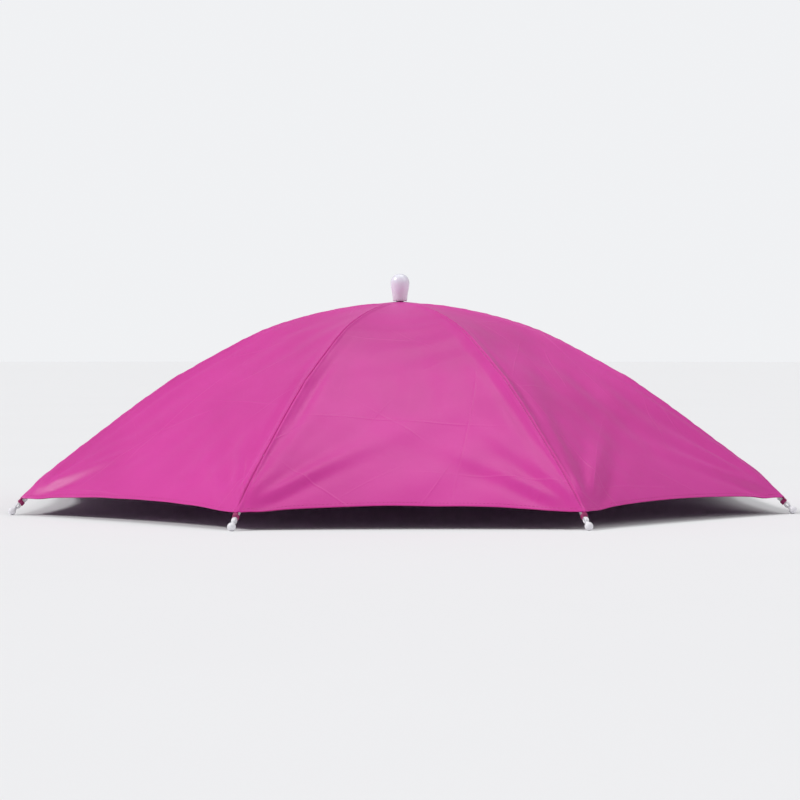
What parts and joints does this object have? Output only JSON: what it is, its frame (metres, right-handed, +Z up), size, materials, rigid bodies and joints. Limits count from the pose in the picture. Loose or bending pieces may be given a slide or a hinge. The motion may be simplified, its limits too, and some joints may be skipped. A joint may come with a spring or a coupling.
{
  "type": "umbrella hat",
  "caption": "Hands-free folding sun canopy worn on the head: cloth gores on thin ribs, with an elastic headband hung from arms beneath.",
  "frame": {"origin": "on the surface the hat stands on, under the middle of the ring of rib tips", "axes": "+Z up along the hat's axis through its ferrule; the wearer faces -Y, across the middle of the front gore; +X is the wearer's left"},
  "size_m": [0.601, 0.601, 0.1874],
  "materials": {
    "canopy_cloth": "pink coated polyester, plain weave with a soft sheen outside, mauve-grey metallic coating inside, dark narrow hem",
    "rib_steel": "black lacquered thin steel",
    "band_elastic": "black knitted elastic and webbing",
    "black_plastic": "black moulded plastic",
    "tip_plastic": "white moulded plastic",
    "ferrule_plastic": "milky translucent white plastic",
    "label_tape": "bare white woven tape"
  },
  "bodies": {
    "root": {"gore_1": "canopy_cloth", "gore_2": "canopy_cloth", "gore_3": "canopy_cloth", "gore_4": "canopy_cloth", "gore_5": "canopy_cloth", "gore_6": "canopy_cloth", "gore_7": "canopy_cloth", "gore_8": "canopy_cloth", "rib_inner_1": "rib_steel", "rib_inner_2": "rib_steel", "rib_inner_3": "rib_steel", "rib_inner_4": "rib_steel", "rib_inner_5": "rib_steel", "rib_inner_6": "rib_steel", "rib_inner_7": "rib_steel", "rib_inner_8": "rib_steel", "rib_joint_1": "rib_steel", "rib_joint_2": "rib_steel", "rib_joint_3": "rib_steel", "rib_joint_4": "rib_steel", "rib_joint_5": "rib_steel", "rib_joint_6": "rib_steel", "rib_joint_7": "rib_steel", "rib_joint_8": "rib_steel", "rib_outer_1": "rib_steel", "rib_outer_2": "rib_steel", "rib_outer_3": "rib_steel", "rib_outer_4": "rib_steel", "rib_outer_5": "rib_steel", "rib_outer_6": "rib_steel", "rib_outer_7": "rib_steel", "rib_outer_8": "rib_steel", "tip_1": "tip_plastic", "tip_2": "tip_plastic", "tip_3": "tip_plastic", "tip_4": "tip_plastic", "tip_5": "tip_plastic", "tip_6": "tip_plastic", "tip_7": "tip_plastic", "tip_8": "tip_plastic", "arm_1": "black_plastic", "arm_2": "black_plastic", "arm_3": "black_plastic", "arm_4": "black_plastic", "headband_elastic": "band_elastic", "headband_webbing": "band_elastic", "elastic_fold": "band_elastic", "hub": "black_plastic", "ferrule": "ferrule_plastic", "care_label": "label_tape"}
  },
  "joints": []
}
